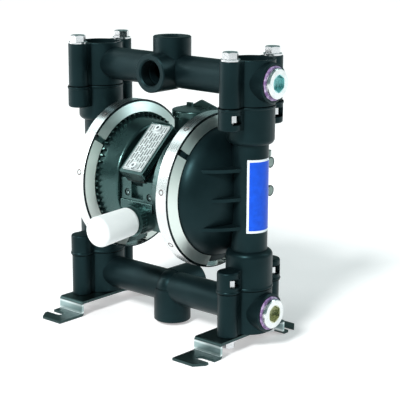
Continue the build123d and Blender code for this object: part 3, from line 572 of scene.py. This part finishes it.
def label(name, mat):
    """Thin curved sheet on the column: two skins and the rim between them."""
    across, up, end_strip = 48, 12, 0.8
    inner = [LABEL_LOW + (LABEL_HIGH - LABEL_LOW) * k / up for k in range(1, up)]
    levels = [LABEL_LOW, LABEL_LOW + end_strip] + inner + [LABEL_HIGH - end_strip, LABEL_HIGH]
    points = []
    for radius in (LABEL_IN_R, LABEL_R):
        for i in range(across + 1):
            angle = math.radians(LABEL_START + LABEL_TURN * i / across)
            for z in levels:
                points.append((COLUMN_X + radius * math.sin(angle), -radius * math.cos(angle), z))
    rows, cols = across + 1, len(levels)
    skin = rows * cols
    faces = [tuple(skin + v for v in f) for f in grid_faces(rows, cols)]
    faces += [tuple(reversed(f)) for f in grid_faces(rows, cols)]
    rim = [i * cols for i in range(rows)] + [(rows - 1) * cols + j for j in range(1, cols)]
    rim += [i * cols + cols - 1 for i in range(rows - 2, -1, -1)] + list(range(cols - 2, 0, -1))
    faces += [(a, b, skin + b, skin + a) for a, b in zip(rim, rim[1:] + rim[:1])]
    mesh_piece(name, points, faces, mat)


label("label_right", label_material())


# Diaphragms: the CAD solid is hidden and stands here as sectors cut round the shaft
WAVE_IN_R, WAVE_OUT_R, SECTORS = 38.0, 53.5, 8


def diaphragm_sector(node, number):
    """One sector of the diaphragm, cut by the planes either side of its middle direction, so neighbours
    meet along their cuts.
    """
    half = math.pi / SECTORS
    middle = 2 * half * number
    cut = bmesh.new()
    cut.from_mesh(NODES[node].data)
    for sign in (-1, 1):
        a = middle + sign * half
        outwards = (0, -sign * math.sin(a), sign * math.cos(a))
        everything = cut.verts[:] + cut.edges[:] + cut.faces[:]
        bmesh.ops.bisect_plane(
            cut, geom=everything, dist=1e-7, clear_outer=True,
            plane_co=(0, 0, AXIS_Z * MM), plane_no=outwards)
    name = f"{node}_sector_{number}"
    data = bpy.data.meshes.new(name)
    cut.to_mesh(data)
    cut.free()
    obj = shown(name, data, MATERIALS[SLOT_OF[node]])
    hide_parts(node)
    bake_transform(obj)


for _, word in SIDES:
    for number in range(SECTORS):
        diaphragm_sector(f"diaphragm_{word}", number)


# Heads of the two screws in the cheeks of the centre housing
HEAD_R, HEAD_HEIGHT, SOCKET_R, SOCKET_DEEP = 2.9, 1.9, 1.45, 1.1
SCREW_SEAT_Y = -45.4
CHEEK_SCREWS = (("left", -12.5, 135.2), ("right", 15.2, 133.8))


def socket_head(name, place, out, mat):
    """Cap screw head: rounded rim and a six sided socket."""
    at = axis_frame(place, out)
    around = 36
    rim, top = HEAD_R, HEAD_HEIGHT
    round_rows = [(rim, 0.0), (rim, top - 0.35), (rim - 0.12, top - 0.1), (rim - 0.4, top)]
    six_rows = [
        (SOCKET_R + 0.058, top), (SOCKET_R, top - 0.12), (SOCKET_R, top - SOCKET_DEEP), (0.02, top - 1.3)]
    points = []
    for rows, six in ((round_rows, False), (six_rows, True)):
        for r, z in rows:
            for a in circle_angles(around):
                corner = (a + math.pi / 6) % (math.pi / 3) - math.pi / 6
                reach = r / math.cos(corner) if six else r
                points.append(at @ Vector((reach * math.cos(a), reach * math.sin(a), z)))
    mesh_piece(name, points, grid_faces(len(round_rows) + len(six_rows), around, False, True), mat)


screw_black = metal("screw_black", (0.05, 0.08, 0.08), (0.10, 0.14, 0.14), (0.24, 0.34))
for word, x, z in CHEEK_SCREWS:
    socket_head(f"cheek_screw_{word}", (x, SCREW_SEAT_Y, z), (0, -1, 0), screw_black)


# Weld marks on the clamp straps, by degrees from the front towards the top
WELD_PROFILE = ((1.75, -0.1), (1.9, 0.10), (2.25, 0.16), (2.6, 0.10), (2.85, -0.1))
OTHER_WELDS = (110, 155, -35, -60, -120, -150)
WELDS = {"left": (59, 9.5, *OTHER_WELDS), "right": (58, 7, *OTHER_WELDS)}


def weld(name, x, degrees, mat):
    """Low ring on the outside of a strap."""
    turn = math.radians(degrees)
    out = Vector((0, -math.cos(turn), math.sin(turn)))
    at = axis_frame((x, out.y * STRAP_OUT_R, AXIS_Z + out.z * STRAP_OUT_R), out)
    around = 28
    points = []
    for r, z in WELD_PROFILE:
        for a in circle_angles(around):
            points.append(at @ Vector((r * math.cos(a), r * math.sin(a), z)))
    mesh_piece(name, points, grid_faces(len(WELD_PROFILE), around, False, True), mat)


weld_mark = metal("weld_mark", (0.10, 0.08, 0.08), (0.20, 0.165, 0.16), (0.35, 0.5))
for side, word in SIDES:
    for number, degrees in enumerate(WELDS[word]):
        weld(f"weld_{word}_{number}", side * CLAMP_X, degrees, weld_mark)


# Floor, lights and camera
FLOOR_REACH = 40  # metres each way
LIGHTS = (  # name, place and aim in metres, size, power and colour
    ("left_box", (-1.5, -0.9, 0.75), (0, 0, 0.14), (0.9, 1.2), 15, (1, 1, 1)),
    ("upper_box", (-1.10, -0.12, 1.30), (0, 0, 0.14), (0.55, 0.55), 1.6, (0.92, 1.0, 1.0)),
    ("back_strip", (0.9, 1.1, 1.0), (0.05, 0, 0.15), (0.3, 1.2), 5, (0.8, 0.97, 1.0)),
)


def floor():
    """Plain pale floor, wide enough to fill the view from low angles."""
    corners = [(sx * FLOOR_REACH, sy * FLOOR_REACH, 0) for sx, sy in ((-1, -1), (1, -1), (1, 1), (-1, 1))]
    data = bpy.data.meshes.new("studio_floor")
    data.from_pydata(corners, [], [(0, 1, 2, 3)])
    obj = bpy.data.objects.new("studio_floor", data)
    bpy.context.scene.collection.objects.link(obj)
    mat, tree, shader, at = new_material("studio_white")
    white = ramp(tree, noise(tree, at, 3.0), [(0.0, (0.79,) * 3), (1.0, (0.81,) * 3)])
    tree.links.new(white, shader.inputs["Base Color"])
    shader.inputs["Roughness"].default_value = 0.9
    shader.inputs["Specular IOR Level"].default_value = 0.0
    shader.inputs["Emission Color"].default_value = (1.0, 0.95, 0.955, 1.0)
    shader.inputs["Emission Strength"].default_value = 0.39
    data.materials.append(mat)


def area(name, place, aim, size, power, colour):
    """Rectangular light turned to face a point."""
    data = bpy.data.lights.new(name, "AREA")
    data.shape = "RECTANGLE"
    data.size, data.size_y = size
    data.energy = power
    data.color = colour
    obj = bpy.data.objects.new(name, data)
    obj.location = place
    obj.rotation_euler = (Vector(aim) - Vector(place)).to_track_quat("-Z", "Y").to_euler()
    bpy.context.scene.collection.objects.link(obj)


def direction(azimuth, elevation):
    """Unit vector; azimuth is turned from the front towards the right."""
    a, e = math.radians(azimuth), math.radians(elevation)
    return Vector((math.sin(a) * math.cos(e), -math.cos(a) * math.cos(e), math.sin(e)))


def sun(name, azimuth, elevation, power, wide):
    """Light from far away, wide degrees across."""
    data = bpy.data.lights.new(name, "SUN")
    data.energy = power
    data.angle = math.radians(wide)
    obj = bpy.data.objects.new(name, data)
    obj.rotation_euler = (-direction(azimuth, elevation)).to_track_quat("-Z", "Y").to_euler()
    bpy.context.scene.collection.objects.link(obj)


SENSOR_MM, PHOTO_PX = 36.0, 400.0  # widths of the sensor and of the photograph


def camera(place, azimuth, elevation, roll, focal_px):
    """Camera as fitted to the photograph; place in millimetres, focal length in its pixels."""
    data = bpy.data.cameras.new("photo_camera")
    data.sensor_width = SENSOR_MM
    data.lens = focal_px * SENSOR_MM / PHOTO_PX
    data.clip_start, data.clip_end = 0.05, 120
    obj = bpy.data.objects.new("photo_camera", data)
    back = direction(azimuth, elevation)
    a, r = math.radians(azimuth), math.radians(roll)
    right = Vector((math.cos(a), math.sin(a), 0))
    up = back.cross(right)
    right, up = right * math.cos(r) + up * math.sin(r), up * math.cos(r) - right * math.sin(r)
    turn = Matrix((right, up, back)).transposed().to_4x4()
    obj.matrix_world = Matrix.Translation(Vector(place) * MM) @ turn
    bpy.context.scene.collection.objects.link(obj)
    bpy.context.scene.camera = obj


floor()
world = bpy.data.worlds.new("studio")
bpy.context.scene.world = world
world.use_nodes = True
sky = world.node_tree.nodes["Background"]
sky.inputs["Color"].default_value = (0.62, 0.98, 0.96, 1.0)
sky.inputs["Strength"].default_value = 0.24
sun("key", azimuth=12, elevation=38, power=3.1, wide=12)
for light in LIGHTS:
    area(*light)
view_settings = bpy.context.scene.view_settings
view_settings.view_transform = "Standard"
view_settings.look = "None"
camera((804.6, -878.7, 409.9), azimuth=41.21, elevation=13.636, roll=0.267, focal_px=1286.36)

bpy.context.view_layer.update()
